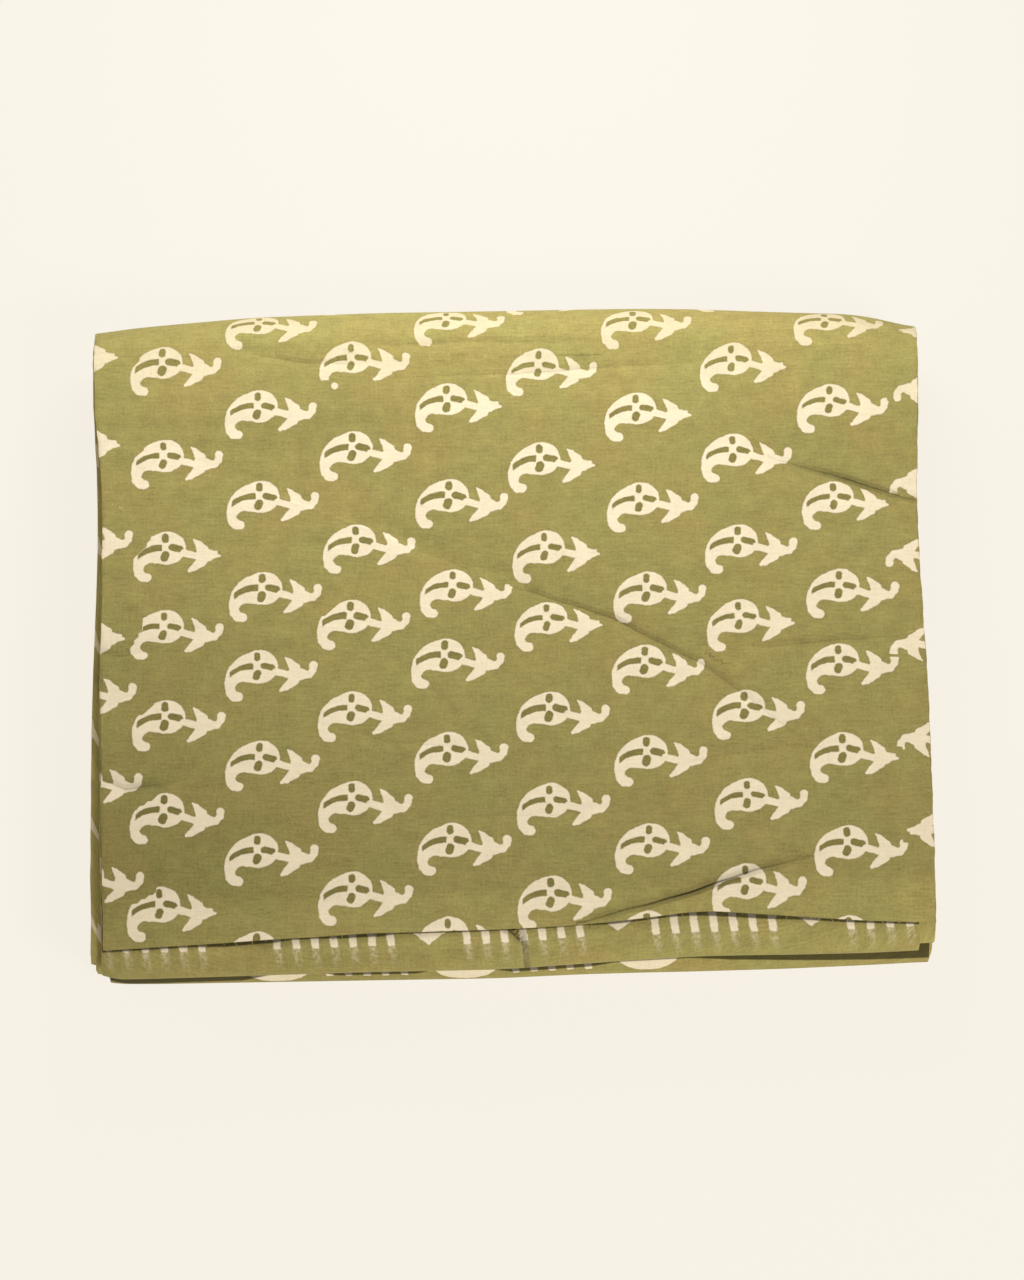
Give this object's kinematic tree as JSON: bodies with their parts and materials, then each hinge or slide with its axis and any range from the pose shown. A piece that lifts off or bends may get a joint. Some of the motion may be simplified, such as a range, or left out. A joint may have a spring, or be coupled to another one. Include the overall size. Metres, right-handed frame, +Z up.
{
  "type": "folded block-printed cotton cloth",
  "caption": "Thick stack of one thin printed cloth folded back and forth, with a round back fold, nested front folds and a loose top flap.",
  "frame": {"origin": "middle of the underside, on the surface that the cloth lies on", "axes": "+X along the folds, +Y from the open front edge towards the round back fold, +Z up"},
  "size_m": [0.3794, 0.3242, 0.0479],
  "materials": {
    "printed_cotton": "plain-woven cotton, olive dyed, with undyed cream motifs left by a mud resist block print, matt"
  },
  "bodies": {
    "root": {"folded_cloth": "printed_cotton"}
  },
  "joints": []
}
